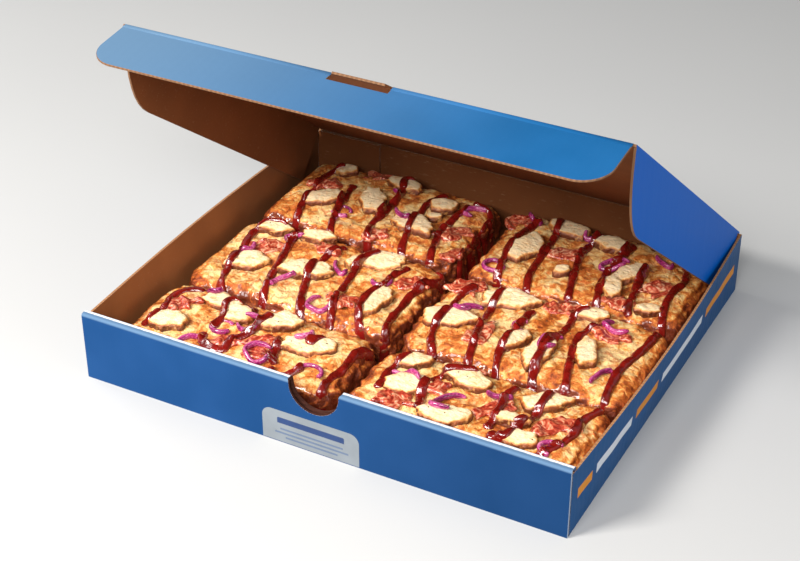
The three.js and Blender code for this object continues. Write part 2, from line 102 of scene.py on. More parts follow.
class Finish:
    """A Principled material and short ways to add nodes to it."""

    def __init__(self, name, roughness=0.5, **sockets):
        self.material = bpy.data.materials.new(name)
        self.material.use_nodes = True
        self.tree = self.material.node_tree
        self.surface = self.tree.nodes["Principled BSDF"]
        self.set("Roughness", roughness)
        for key, value in sockets.items():
            self.set(key.replace("_", " "), value)
        self.place = self.tree.nodes.new("ShaderNodeTexCoord").outputs["Object"]

    def set(self, socket, value):
        target = self.surface.inputs[socket]
        if isinstance(value, bpy.types.NodeSocket):
            self.tree.links.new(value, target)
        else:
            target.default_value = (*value, 1) if socket == "Base Color" else value

    def scatter(self, weight, radius, scale):
        """Light that enters the surface and leaves it nearby."""
        self.set("Subsurface Weight", weight)
        self.set("Subsurface Radius", radius)
        self.set("Subsurface Scale", scale)

    def wire(self, value, target):
        if isinstance(value, bpy.types.NodeSocket):
            self.tree.links.new(value, target)
        elif isinstance(value, tuple) and len(value) == 3 and len(target.default_value) == 4:
            target.default_value = (*value, 1)
        else:
            target.default_value = value

    def math(self, operation, a, b=0.0, c=0.0):
        node = self.tree.nodes.new("ShaderNodeMath")
        node.operation = operation
        for value, target in zip((a, b, c), node.inputs):
            self.wire(value, target)
        return node.outputs[0]

    def axis(self, letter):
        node = self.tree.nodes.new("ShaderNodeSeparateXYZ")
        self.wire(self.place, node.inputs[0])
        return node.outputs[letter]

    def facing(self, letter):
        geometry = self.tree.nodes.new("ShaderNodeNewGeometry")
        node = self.tree.nodes.new("ShaderNodeSeparateXYZ")
        self.wire(geometry.outputs["Normal"], node.inputs[0])
        return node.outputs[letter]

    def noise(self, size, detail=3.0, roughness=0.55, distortion=0.0, stretch=(1, 1, 1)):
        mapping = self.tree.nodes.new("ShaderNodeMapping")
        mapping.inputs["Scale"].default_value = stretch
        self.wire(self.place, mapping.inputs["Vector"])
        node = self.tree.nodes.new("ShaderNodeTexNoise")
        self.wire(mapping.outputs[0], node.inputs["Vector"])
        node.inputs["Scale"].default_value = 1 / size
        node.inputs["Detail"].default_value = detail
        node.inputs["Roughness"].default_value = roughness
        node.inputs["Distortion"].default_value = distortion
        return node.outputs[0]

    def cells(self, size):
        node = self.tree.nodes.new("ShaderNodeTexVoronoi")
        self.wire(self.place, node.inputs["Vector"])
        node.inputs["Scale"].default_value = 1 / size
        return node.outputs["Distance"]

    def waves(self, letter, period):
        turns = self.math("MULTIPLY", self.axis(letter), 2 * math.pi / period)
        return self.math("MULTIPLY_ADD", self.math("SINE", turns), 0.5, 0.5)

    def step(self, value, low, high):
        node = self.tree.nodes.new("ShaderNodeMapRange")
        node.interpolation_type = "SMOOTHSTEP"
        self.wire(value, node.inputs[0])
        self.wire(low, node.inputs[1])
        self.wire(high, node.inputs[2])
        return node.outputs[0]

    def between(self, value, low, high, soft):
        rise = self.step(value, low - soft, low + soft)
        fall = self.step(value, high + soft, high - soft)
        return self.math("MULTIPLY", rise, fall)

    def mix(self, amount, a, b):
        node = self.tree.nodes.new("ShaderNodeMix")
        node.data_type = "RGBA"
        self.wire(amount, node.inputs[0])
        self.wire(a, node.inputs[6])
        self.wire(b, node.inputs[7])
        return node.outputs[2]

    def ramp(self, value, stops):
        node = self.tree.nodes.new("ShaderNodeValToRGB")
        self.wire(value, node.inputs[0])
        elements = node.color_ramp.elements
        while len(elements) < len(stops):
            elements.new(0.5)
        for element, (position, colour) in zip(elements, stops):
            element.position = position
            element.color = (*colour, 1)
        return node.outputs[0]

    def bump(self, heights, strength=1.0):
        """heights is a list of (socket, depth in metres)."""
        total = 0.0
        for socket, depth in heights:
            total = self.math("MULTIPLY_ADD", socket, depth, total)
        node = self.tree.nodes.new("ShaderNodeBump")
        node.inputs["Strength"].default_value = strength
        node.inputs["Distance"].default_value = 1.0
        self.wire(total, node.inputs["Height"])
        self.set("Normal", node.outputs[0])


# ---------- board finishes ----------

BLUE = (0.010, 0.056, 0.175)
SIDE_BLUE = (0.009, 0.070, 0.205)
LID_BLUE = (0.005, 0.068, 0.29)
# Painted light: the lid's right side flap gets a brighter blue than its top.
LID_SIDE_PAINTED_LIGHT_BLUE = (0.001, 0.100, 0.46)
# Painted sheen: the flap's print grows lighter towards its left end.
FLAP_PAINTED_SHEEN_BLUE = (0.092, 0.170, 0.27)
FLAP_RIGHT_BLUE = (0.008, 0.088, 0.235)
CREASE_BLUE = (0.095, 0.170, 0.28)
# Painted shade: black for the hollow between the two sheets of the front wall, seen at its ends.
GAP_PAINTED_SHADE = (0.010, 0.012, 0.018)
WALL_END_BLUE = (0.34, 0.40, 0.50)
KRAFT = (0.36, 0.128, 0.038)
# Painted shade: a darker copy of the kraft for the back wall and the insides of the lid and flap.
PAINTED_SHADE_KRAFT = (0.19, 0.058, 0.015)
# Pale white liner, also used for the painted highlight along the front wall's rolled top.
PALE_LINER_AND_HIGHLIGHT = (0.62, 0.64, 0.68)
ORANGE_INK = (0.62, 0.24, 0.03)
WHITE_INK = (0.62, 0.66, 0.72)

# The row of bars on the right wall: from and to along Y, in mm, and the ink.
SIDE_BARS = [
    (-146, -125, ORANGE_INK), (-118, -62, WHITE_INK), (-54, -16, ORANGE_INK),
    (-8, 72, WHITE_INK), (80, 146, ORANGE_INK),
]
SIDE_BARS_LOW = 22.0 * MM
SIDE_BARS_HIGH = 29.5 * MM
PRINT_BLUR = 0.25 * MM


def scaled(colour, factor):
    return tuple(factor * c for c in colour)


def printed(name, colour, flutes, gloss=0.38):
    """Satin print over fluted board, whose ribs just show through."""
    finish = Finish(name, gloss, Specular_IOR_Level=0.03)
    cloud = finish.noise(70 * MM, 2)
    paper = finish.noise(1.3 * MM, 3)
    light = tuple(1.06 * c + 0.003 for c in colour)
    base = finish.mix(finish.step(cloud, 0.3, 0.7), scaled(colour, 0.90), light)
    fleck = finish.step(finish.noise(0.55 * MM, 2), 0.66, 0.8)
    finish.colour = finish.mix(finish.math("MULTIPLY", fleck, 0.10), base, (0.5, 0.6, 0.75))
    finish.set("Base Color", finish.colour)
    ribs = finish.waves(flutes, FLUTE)
    streak = finish.noise(9 * MM, 2, stretch=(1, 1, 0.15) if flutes == "X" else (0.3, 1, 0.3))
    finish.bump([(ribs, 0.06 * MM), (paper, 0.05 * MM), (streak, 0.2 * MM)], 0.55)
    return finish


def kraft(name, colour, depth=0.08 * MM, painted_light_gradient=0.0):
    """Bare brown board. Its last argument sets painted shade that darkens it from the front of the box
    to the back.
    """
    finish = Finish(name, 0.82, Specular_IOR_Level=0.25)
    fibre = finish.noise(1.6 * MM, 4, stretch=(0.25, 1, 1))
    cloud = finish.noise(45 * MM, 3)
    base = finish.ramp(cloud, [(0.25, scaled(colour, 0.78)), (0.75, colour)])
    speck = finish.step(finish.noise(0.9 * MM, 2), 0.62, 0.75)
    base = finish.mix(finish.math("MULTIPLY", speck, 0.35), base, (0.16, 0.07, 0.03))
    pale = finish.step(fibre, 0.6, 0.8)
    base = finish.mix(finish.math("MULTIPLY", pale, 0.25), base, (0.55, 0.34, 0.19))
    # Painted shade: the board darkens towards the back of the box.
    if painted_light_gradient:
        back = finish.step(finish.axis("Y"), -70 * MM, 140 * MM)
        base = finish.mix(finish.math("MULTIPLY", back, painted_light_gradient), base, scaled(colour, 0.25))
    finish.set("Base Color", base)
    finish.bump([(fibre, depth), (cloud, 0.4 * MM)], 0.6)
    return finish.material


def raw_edge(name, colour, along):
    """The cut edge of the board, with its flutes."""
    finish = Finish(name, 0.9, Specular_IOR_Level=0.2)
    flute = finish.waves(along, FLUTE / 2)
    torn = finish.noise(0.8 * MM, 4)
    dark = scaled(colour, 0.7)
    # The darker bands of the flute wave are painted shade in the open flutes; torn patches take the same
    # darker brown.
    base = finish.mix(finish.step(flute, 0.25, 0.75), dark, colour)
    finish.set("Base Color", finish.mix(finish.step(torn, 0.4, 0.7), base, dark))
    finish.bump([(flute, 0.12 * MM), (torn, 0.3 * MM)], 0.8)
    return finish.material


def front_print():
    """Print that darkens to the right as painted shade, with a pale line along the rolled top: white
    liner with a painted highlight.
    """
    finish = printed("print_front", BLUE, "X")
    inward = finish.axis("Y")
    crease = finish.step(finish.axis("Z"), 49.6 * MM, 51.2 * MM)
    # Painted shade: the print darkens towards the right end of the wall.
    painted_shade = finish.math("MULTIPLY", finish.step(finish.axis("X"), -120 * MM, 190 * MM), 0.34)
    dimmed = finish.mix(painted_shade, finish.colour, (0, 0, 0))
    colour = finish.mix(crease, dimmed, CREASE_BLUE)
    # A pale line along the rolled top: white liner at the crease with a painted highlight on it.
    liner_highlight_edge = finish.math("MULTIPLY_ADD", finish.noise(4 * MM, 3), 1.2 * MM, inward)
    line = finish.between(liner_highlight_edge, -155.2 * MM, -152.9 * MM, 0.25 * MM)
    colour = finish.mix(finish.math("MULTIPLY", crease, line), colour, PALE_LINER_AND_HIGHLIGHT)
    finish.set("Base Color", colour)
    return finish.material


def side_print():
    """Print on the side walls, with a broken row of plain bars on the right one."""
    finish = printed("print_side", SIDE_BLUE, "Y")
    along = finish.axis("Y")
    row = finish.between(finish.axis("Z"), SIDE_BARS_LOW, SIDE_BARS_HIGH, PRINT_BLUR)
    row = finish.math("MULTIPLY", row, finish.step(finish.axis("X"), 0.0, 0.01))
    colour = finish.colour
    for low, high, bar_ink in SIDE_BARS:
        here = finish.between(along, low * MM, high * MM, PRINT_BLUR)
        colour = finish.mix(finish.math("MULTIPLY", row, here), colour, bar_ink)
    # The front wall's own edge, then black painted shade for the hollow gap behind it.
    colour = finish.mix(finish.step(along, -156.2 * MM, -156.6 * MM), colour, GAP_PAINTED_SHADE)
    colour = finish.mix(finish.step(along, -157.2 * MM, -157.5 * MM), colour, WALL_END_BLUE)
    finish.set("Base Color", colour)
    return finish.material


def lid_print():
    """Print that is brighter on the right side flap, as painted light."""
    finish = printed("print_lid", LID_BLUE, "X")
    right = finish.step(finish.axis("X"), 176.5 * MM, 177.5 * MM)
    finish.set("Base Color", finish.mix(right, finish.colour, LID_SIDE_PAINTED_LIGHT_BLUE))
    return finish.material


def flap_print():
    """Print that grows lighter towards the left end, as a painted sheen."""
    finish = printed("print_flap", FLAP_RIGHT_BLUE, "X", 0.4)
    # Painted sheen towards the left end.
    painted_light_gradient = finish.step(finish.axis("X"), 150 * MM, -190 * MM)
    finish.set("Base Color", finish.mix(painted_light_gradient, finish.colour, FLAP_PAINTED_SHEEN_BLUE))
    return finish.material


FRONT_PRINT = front_print()
SIDE_PRINT = side_print()
BACK_PRINT = printed("print_back", BLUE, "X").material
LID_PRINT = lid_print()
FLAP_PRINT = flap_print()
# The inside kraft darkens towards the back as painted shade.
INSIDE = kraft("kraft_inside", KRAFT, painted_light_gradient=0.7)
# A darker kraft as painted shade for the back wall and the insides of the lid and flap.
PAINTED_SHADE_INSIDE = kraft("kraft_painted_shade", PAINTED_SHADE_KRAFT)
# Raw board for the notch's cut edge and for the hollow of the doubled front wall, made very dark as
# painted shade of the hollow.
NOTCH_EDGE_PAINTED_SHADE = raw_edge("notch_edge_painted_shade", (0.07, 0.022, 0.014), "Z")
CUT_EDGE_Y = raw_edge("cut_edge_sides", (0.42, 0.2, 0.085), "Y")
CUT_EDGE_X = raw_edge("cut_edge_lid", (0.22, 0.11, 0.055), "X")
LINER = kraft("liner_edge", PALE_LINER_AND_HIGHLIGHT, 0.03 * MM)


# ---------- food finishes ----------


def baked_cheese():
    finish = Finish("baked_cheese", 0.34, Coat_Weight=0.5, Coat_Roughness=0.07,
                    Specular_IOR_Level=0.25)
    finish.scatter(0.08, (0.006, 0.003, 0.001), 0.35)
    upward = finish.facing("Z")
    broad = finish.noise(26 * MM, 4, 0.6, 0.6)
    small = finish.noise(6 * MM, 5, 0.65, 0.8)
    fine = finish.noise(1.6 * MM, 4, 0.6)
    # Flat tops stay pale and slopes go brown. On slopes the seams between bubbles are darker still,
    # painted shade that leaves the middles of the bubbles pale as painted highlights.
    slope = finish.math("SUBTRACT", 1.0, upward)
    painted_bubble_shade = finish.cells(6 * MM)
    toast = finish.math("MULTIPLY_ADD", slope, 0.85, -0.98)
    toast = finish.math("MULTIPLY_ADD", broad, 1.45, toast)
    toast = finish.math("MULTIPLY_ADD", small, 1.30, toast)
    toast = finish.math("MULTIPLY_ADD", finish.math("MULTIPLY", painted_bubble_shade, slope), 0.35, toast)
    base = finish.ramp(toast, [
        (0.26, (0.89, 0.62, 0.28)), (0.42, (0.82, 0.42, 0.125)), (0.54, (0.64, 0.195, 0.034)),
        (0.68, (0.42, 0.098, 0.017)), (0.90, (0.15, 0.024, 0.007)),
    ])
    # Small scorched spots on what is brown already, and broad patches of clear orange fat.
    scorch = finish.step(finish.noise(3.4 * MM, 4, 0.6, 1.2), 0.56, 0.70)
    scorch = finish.math("MULTIPLY", scorch, finish.step(toast, 0.46, 0.72))
    base = finish.mix(finish.math("MULTIPLY", scorch, 0.8), base, (0.26, 0.055, 0.014))
    fat = finish.step(finish.noise(10 * MM, 4, 0.6, 1.8), 0.51, 0.62)
    base = finish.mix(finish.math("MULTIPLY", fat, 0.68), base, (0.55, 0.120, 0.024))
    finish.set("Base Color", base)
    finish.set("Roughness", finish.math("MULTIPLY_ADD", finish.noise(7 * MM, 3), 0.4, 0.25))
    finish.bump([(small, 2.0 * MM), (fine, 1.1 * MM)], 0.9)
    return finish.material


def roast_chicken():
    finish = Finish("roast_chicken", 0.42, Coat_Weight=0.15, Coat_Roughness=0.25)
    finish.scatter(0.15, (0.005, 0.003, 0.002), 0.3)
    upward = finish.facing("Z")
    grain = finish.noise(1.5 * MM, 4, 0.6, stretch=(0.35, 1, 1))
    patch = finish.noise(8 * MM, 3, 0.6)
    level = finish.math("MULTIPLY_ADD", patch, 0.30, upward)
    level = finish.math("MULTIPLY_ADD", grain, 0.16, level)
    level = finish.math("MULTIPLY", level, 0.8)
    grilled = finish.step(finish.noise(6 * MM, 4, 0.6, 0.8), 0.52, 0.68)
    base = finish.ramp(level, [
        (0.28, (0.12, 0.022, 0.005)), (0.60, (0.34, 0.088, 0.015)), (0.80, (0.66, 0.27, 0.06)),
        (0.895, (0.90, 0.58, 0.27)), (0.975, (0.93, 0.72, 0.45)),
    ])
    base = finish.mix(finish.math("MULTIPLY", grilled, 0.6), base, (0.76, 0.38, 0.11))
    finish.set("Base Color", base)
    finish.bump([(grain, 0.9 * MM), (finish.noise(3 * MM, 3), 1.3 * MM)], 0.85)
    return finish.material


def crisp_bacon():
    finish = Finish("crisp_bacon", 0.28, Coat_Weight=0.4, Coat_Roughness=0.15)
    finish.scatter(0.15, (0.004, 0.0015, 0.001), 0.3)
    streak = finish.noise(7 * MM, 2, 0.5, 2.6)
    burnt = finish.step(finish.noise(5 * MM, 3, 0.6, 0.6), 0.58, 0.75)
    base = finish.ramp(streak, [
        (0.30, (0.17, 0.010, 0.005)), (0.46, (0.40, 0.045, 0.022)), (0.57, (0.62, 0.17, 0.085)),
        (0.68, (0.80, 0.46, 0.29)),
    ])
    base = finish.mix(finish.math("MULTIPLY", burnt, 0.6), base, (0.20, 0.03, 0.014))
    finish.set("Base Color", base)
    finish.bump([(streak, 0.8 * MM), (finish.noise(1.5 * MM, 2), 0.12 * MM)], 0.6)
    return finish.material


def red_onion():
    finish = Finish("red_onion", 0.2, Coat_Weight=0.5, Coat_Roughness=0.1)
    finish.scatter(0.2, (0.004, 0.001, 0.002), 0.3)
    upward = finish.facing("Z")
    vein = finish.noise(1.6 * MM, 3, 0.5, stretch=(1, 1, 3))
    tone = finish.noise(16 * MM, 2)
    level = finish.math("MULTIPLY_ADD", vein, 0.5, finish.math("MULTIPLY", tone, 0.55))
    base = finish.ramp(level, [
        (0.38, (0.07, 0.004, 0.030)), (0.48, (0.22, 0.009, 0.085)), (0.57, (0.42, 0.032, 0.175)),
        (0.68, (0.70, 0.26, 0.40)),
    ])
    rim = finish.math("MULTIPLY", finish.step(upward, 0.75, 1.0), 0.35)
    base = finish.mix(rim, base, (0.60, 0.17, 0.34))
    finish.set("Base Color", base)
    finish.bump([(vein, 0.2 * MM)], 0.6)
    return finish.material


def barbecue_sauce():
    finish = Finish("barbecue_sauce", 0.12, Coat_Weight=1.0, Coat_Roughness=0.04,
                    Specular_IOR_Level=0.6)
    finish.scatter(0.08, (0.003, 0.0004, 0.0002), 0.3)
    depth = finish.noise(9 * MM, 3)
    base = finish.ramp(depth, [(0.3, (0.10, 0.0034, 0.0026)), (0.7, (0.23, 0.0080, 0.0056))])
    finish.set("Base Color", base)
    finish.bump([(finish.noise(4 * MM, 3), 1.5 * MM), (finish.noise(1.8 * MM, 2), 0.3 * MM)], 0.7)
    return finish.material


def herb_fleck():
    finish = Finish("herb_fleck", 0.6)
    green = (0.030, 0.045, 0.012)
    brown = (0.09, 0.035, 0.012)
    finish.set("Base Color", finish.ramp(finish.noise(6 * MM, 2), [(0.4, green), (0.6, brown)]))
    return finish.material


# ---------- meshes ----------


def new_object(name, mesh, material):
    obj = bpy.data.objects.new(name, mesh)
    bpy.context.scene.collection.objects.link(obj)
    if material is not None:
        mesh.materials.clear()
        mesh.materials.append(material)
    return obj


def solid_mesh(name, parts):
    """One mesh from a list of (vertices, faces)."""
    vertices = []
    faces = []
    for part_vertices, part_faces in parts:
        first = len(vertices)
        vertices.extend(part_vertices)
        faces.extend(tuple(first + i for i in face) for face in part_faces)
    mesh = bpy.data.meshes.new(name)
    mesh.from_pydata([tuple(v) for v in vertices], [], faces)
    mesh.validate()
    return mesh


def part_of(node):
    """A CAD node's vertices and faces."""
    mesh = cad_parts[node].data
    return [v.co.copy() for v in mesh.vertices], [tuple(p.vertices) for p in mesh.polygons]


def merged(mesh, distance=0.01 * MM):
    bm = bmesh.new()
    bm.from_mesh(mesh)
    bmesh.ops.remove_doubles(bm, verts=bm.verts, dist=distance)
    bmesh.ops.recalc_face_normals(bm, faces=bm.faces)
    bm.to_mesh(mesh)
    bm.free()


def applied(obj):
    """Replaces an object's mesh with the result of its modifiers."""
    graph = bpy.context.evaluated_depsgraph_get()
    result = bpy.data.meshes.new_from_object(obj.evaluated_get(graph), depsgraph=graph)
    obj.modifiers.clear()
    old = obj.data
    obj.data = result
    bpy.data.meshes.remove(old)
    return obj


def remeshed(obj, voxel, smooth=0):
    remesh = obj.modifiers.new("remesh", "REMESH")
    remesh.mode = "VOXEL"
    remesh.voxel_size = voxel
    remesh.use_smooth_shade = True
    if smooth:
        soften = obj.modifiers.new("soften", "SMOOTH")
        soften.iterations = smooth
        soften.factor = 0.5
    return applied(obj)


def moved_along_normals(obj, offset):
    """offset(place, normal) gives how far each vertex moves out."""
    mesh = obj.data
    moves = [v.normal * offset(v.co, v.normal) for v in mesh.vertices]
    for vertex, move in zip(mesh.vertices, moves):
        vertex.co += move
    mesh.update()


def with_material(obj, material):
    if not obj.data.materials:
        obj.data.materials.append(material)


def smooth_shaded(obj):
    obj.data.polygons.foreach_set("use_smooth", [True] * len(obj.data.polygons))


def finished(obj, body, slot, *cad_nodes):
    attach(obj, body)
    if cad_nodes:
        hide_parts(*cad_nodes)
    return obj


# ---------- the box ----------


def board_piece(name, node, body, slot, materials, sort, into_frame):
    """A copy of a board node with a finish for each face and softened cut edges.
    sort(middle, normal), in the board's own frame, gives the place of a face's finish in materials."""
    mesh = bpy.data.meshes.new(name)
    bm = bmesh.new()
    bm.from_mesh(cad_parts[node].data)
    bmesh.ops.remove_doubles(bm, verts=bm.verts, dist=0.01 * MM)
    flat = math.radians(0.4)
    bmesh.ops.dissolve_limit(bm, angle_limit=flat, verts=bm.verts, edges=bm.edges)
    turn = into_frame.to_3x3()
    for face in bm.faces:
        middle = into_frame @ face.calc_center_median()
        face.material_index = sort(middle, turn @ face.normal)
        face.smooth = False
    sharp = [
        edge for edge in bm.edges
        if len(edge.link_faces) == 2
        and edge.link_faces[0].material_index != edge.link_faces[1].material_index
        and edge.calc_face_angle(0) > math.radians(50)
    ]
    bmesh.ops.bevel(bm, geom=sharp, offset=0.28 * MM, offset_type="OFFSET", segments=1,
                    affect="EDGES", material=len(materials) - 1, clamp_overlap=True)
    bmesh.ops.triangulate(bm, faces=[f for f in bm.faces if len(f.verts) > 4])
    bm.to_mesh(mesh)
    bm.free()
    obj = new_object(name, mesh, None)
    for material in materials:
        mesh.materials.append(material)
    return finished(obj, body, slot, node)


def sort_tray(middle, normal):
    """0 front print, 1 side print, 2 back print, 3 inside, 4 cut edge, 5 notch edge darkened as painted
    shade, 6 back inside in darker kraft as painted shade.
    """
    x, y, z = middle
    in_notch = abs(x - NOTCH_MIDDLE) < NOTCH_HALF and NOTCH_BOTTOM < z < FRONT_TOP
    if in_notch and y < FRONT_INNER + 4 * MM and abs(normal.y) < 0.5:
        return 5
    if y < FRONT_INNER + 0.5 * MM and z > 0.5 * MM:
        if abs(normal.x) > 0.9:
            return 1
        if y > FRONT_FACE + 0.4 * MM and z < 50.8 * MM:
            return 5 if normal.y < -0.8 else 3
        return 0
    if abs(normal.x) > 0.8:
        return 1 if normal.x * x > 0 and abs(x) > HALF_WIDTH - 2 * MM else 3
    if abs(normal.y) > 0.8 and y > WALL_BACK - 5 * MM:
        return 2 if normal.y > 0 and y > WALL_BACK - 0.4 * MM else 6
    if normal.z < -0.8 and z < 0.5 * MM:
        return 2
    if normal.z > 0.8 and z > 20 * MM:
        return 4
    if abs(normal.y) > 0.8 and y < 0:
        return 4
    return 3


def sort_lid(middle, normal):
    """0 print, 1 inside, 2 cut edge."""
    x, y, z = middle
    if abs(normal.z) > 0.9 and z > -1.5 * MM:
        return 0 if normal.z > 0 else 1
    if abs(normal.x) > 0.9:
        outside = abs(x) > LID_WIDTH / 2 - 0.4 * MM
        return 0 if outside else 1
    if y > -3 * MM:
        return 0
    return 2


def sort_flap(middle, normal):
    """0 print, 1 inside, 2 cut edge."""
    if abs(normal.z) > 0.9:
        return 0 if normal.z > 0 else 1
    return 2


def crease_strip(name, left, right, into, angle, material):
    """A strip of board folded over a crease at the given angle.
    into is the frame of the first panel at the crease, whose front edge is at y = 0."""
    half = BOARD / 2 + 0.12 * MM
    steps = 6
    section = [(CREASE_ON_LID, half)]
    for i in range(steps + 1):
        turn = angle * i / steps
        section.append((-half * math.sin(turn), half * math.cos(turn)))
    second = Matrix.Rotation(angle, 3, "X")
    outer_end = second @ Vector((0, -CREASE_ON_FLAP, half))
    section.append((outer_end.y, outer_end.z))
    vertices = []
    for x in (left, right):
        vertices.extend(into @ Vector((x, y, z)) for y, z in section)
        vertices.extend(
            into @ Vector((x, y * 0.9, z)) - (into.to_3x3() @ Vector((0, 0, 0.5 * MM)))
            for y, z in section
        )
    count = len(section)
    faces = []
    for i in range(count - 1):
        faces.append((i, i + 1, 2 * count + i + 1, 2 * count + i))
        faces.append((count + i + 1, count + i, 3 * count + i, 3 * count + i + 1))
        faces.append((i + 1, i, count + i, count + i + 1))
        faces.append((2 * count + i, 2 * count + i + 1, 3 * count + i + 1, 3 * count + i))
    faces.append((0, 2 * count, 3 * count, count))
    last = count - 1
    faces.append((last, count + last, 3 * count + last, 2 * count + last))
    mesh = solid_mesh(name, [(vertices, faces)])
    merged(mesh)
    obj = new_object(name, mesh, material)
    smooth_shaded(obj)
    return obj


def rounded_plate(name, corners_x, corners_z, radius, lift, material):
    """A thin field of print on the front wall, with its two top corners rounded."""
    left, right = corners_x
    low, high = corners_z
    outline = [(left, low), (right, low)]
    arc_steps = 8
    for centre, start in ((right - radius, 0), (left + radius, 90)):
        for i in range(arc_steps + 1):
            turn = math.radians(start + i * 90 / arc_steps)
            rise = high - radius + radius * math.sin(turn)
            outline.append((centre + radius * math.cos(turn), rise))
    thickness = 0.08 * MM
    front = [(x, FRONT_FACE - lift, z) for x, z in outline]
    back = [(x, FRONT_FACE - lift + thickness, z) for x, z in outline]
    count = len(outline)
    faces = [tuple(range(count)), tuple(range(2 * count - 1, count - 1, -1))]
    for i in range(count):
        nxt = (i + 1) % count
        faces.append((nxt, i, count + i, count + nxt))
    mesh = solid_mesh(name, [(front + back, faces)])
    merged(mesh, 0.001 * MM)
    return finished(new_object(name, mesh, material), "tray", "tray_board")


def ink(name, colour):
    finish = Finish(name, 0.45)
    cloud = finish.step(finish.noise(18 * MM, 2), 0.3, 0.7)
    finish.set("Base Color", finish.mix(cloud, scaled(colour, 0.88), colour))
    ribs = finish.waves("X", FLUTE)
    paper = finish.noise(1.2 * MM, 2)
    finish.bump([(ribs, 0.03 * MM), (paper, 0.03 * MM)], 0.5)
    return finish.material


def build_label():
    """A pale field on the front wall, with a plain bar and three plain lines."""
    on_wall = 0.12 * MM
    on_field = 0.22 * MM
    rounded_plate("label_field", (-37.5 * MM, 35 * MM), (0.6 * MM, 25.5 * MM), 7 * MM, on_wall,
                  ink("ink_pale", (0.20, 0.225, 0.25)))
    blue_ink = ink("ink_blue", (0.008, 0.035, 0.13))
    grey_ink = ink("ink_grey", (0.10, 0.14, 0.22))
    rounded_plate("label_bar", (-26 * MM, 24 * MM), (15.5 * MM, 20 * MM), 1 * MM, on_field, blue_ink)
    for i, half_length in enumerate((24, 28, 20)):
        low = (10.4 - 3.2 * i) * MM
        rounded_plate(f"label_line_{i + 1}", (-half_length * MM, (half_length - 1) * MM),
                      (low, low + 1.3 * MM), 0.4 * MM, on_field, grey_ink)


def build_box():
    tray_finishes = [
        FRONT_PRINT, SIDE_PRINT, BACK_PRINT, INSIDE, CUT_EDGE_Y, NOTCH_EDGE_PAINTED_SHADE, PAINTED_SHADE_INSIDE, LINER,
    ]
    board_piece("tray_board", "tray", "tray", "tray_board", tray_finishes, sort_tray,
                Matrix.Identity(4))
    lid_finishes = [LID_PRINT, PAINTED_SHADE_INSIDE, CUT_EDGE_X]
    board_piece("lid_board", "lid", "lid", "lid_board", lid_finishes, sort_lid,
                LID_FRAME.inverted())
    flap_finishes = [FLAP_PRINT, PAINTED_SHADE_INSIDE, CUT_EDGE_X]
    board_piece("front_flap_board", "lid_front_flap", "front_flap", "flap_board", flap_finishes,
                sort_flap, FLAP_FRAME.inverted())
    crease = LID_FRAME @ Matrix.Translation((0, -LID_LENGTH, 0))
    half = FLAP_WIDTH / 2
    for name, left, right in (("crease_left", -half, -TAB_HALF), ("crease_right", TAB_HALF, half)):
        strip = crease_strip(name, left, right, crease, FLAP_ANGLE, FLAP_PRINT)
        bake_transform(strip)
    build_label()


# ---------- slices ----------


def dome(place, size):
    """Rounded bubbles packed side by side: 1 in the middle of each, falling to 0 between them."""
    nearest = noise.voronoi(place / size)[0][0]
    return max(0.0, 1 - (nearest / 0.62) ** 2)


def ripple(place, size, height, shift=(0, 0, 0)):
    """Smooth unevenness, with waves of this size. Two ripples with different shifts differ."""
    return height * noise.noise(place / size + Vector(shift))


def toward_wall(place, normal):
    """1 on faces that look at the front or a side wall of the box, where there is no room to swell."""
    front = -normal.y if place.y < -110 * MM else 0.0
    side = math.copysign(normal.x, normal.x * place.x) if abs(place.x) > 150 * MM else 0.0
    return min(1.0, max(0.0, 1.4 * front, 1.4 * side))


def slice_swell(place, normal):
    """How far melted cheese and crust stand out from a slice. Heights are in mm up to the last lines."""
    if place.z < 3 * MM:
        return 0.0
    slope = min(1.0, max(0.0, (0.97 - normal.z) / 0.55))
    uneven = (
        ripple(place, 19 * MM, 1.3)
        + ripple(place, 7.5 * MM, 1.5, (3, 1, 7))
        + ripple(place, 3.4 * MM, 0.75)
    )
    bubbly = min(1.0, max(0.0, 0.5 + ripple(place, 23 * MM, 1.8, (9, 4, 2))))
    blister = dome(place, 6.5 * MM) * (0.1 + 0.6 * bubbly)
    bubbles = dome(place, 12 * MM) * 2.4 + dome(place, 5.5 * MM) * 1.3 - 1.2
    total = (uneven + blister + slope * bubbles) * MM
    if total > 0:
        total *= 1 - toward_wall(place, normal)
    return total


def build_food(name, parts, nodes, voxel, swell, material, slot, smooth=0):
    """One piece of food from closed parts: fused, then swollen by swell(place, normal)."""
    obj = new_object(name, solid_mesh(name, parts), material)
    merged(obj.data)
    remeshed(obj, voxel, smooth)
    moved_along_normals(obj, swell)
    smooth_shaded(obj)
    with_material(obj, material)
    return finished(obj, "tray", slot, *nodes)


def build_slices():
    cheese = baked_cheese()
    return [
        build_food(name + "_baked", [part_of(name)], [name], 1.3 * MM, slice_swell, cheese, "pizza", 1)
        for name in SLICES
    ]


class Surface:
    """Finds the height of the food below a point."""

    def __init__(self, objects):
        bm = bmesh.new()
        for obj in objects:
            bm.from_mesh(obj.data)
        self.tree = BVHTree.FromBMesh(bm)
        bm.free()

    def height(self, place):
        hit = self.tree.ray_cast(Vector((place.x, place.y, 0.2)), DOWN)[0]
        return hit.z if hit else TRAY_FLOOR


# ---------- toppings ----------

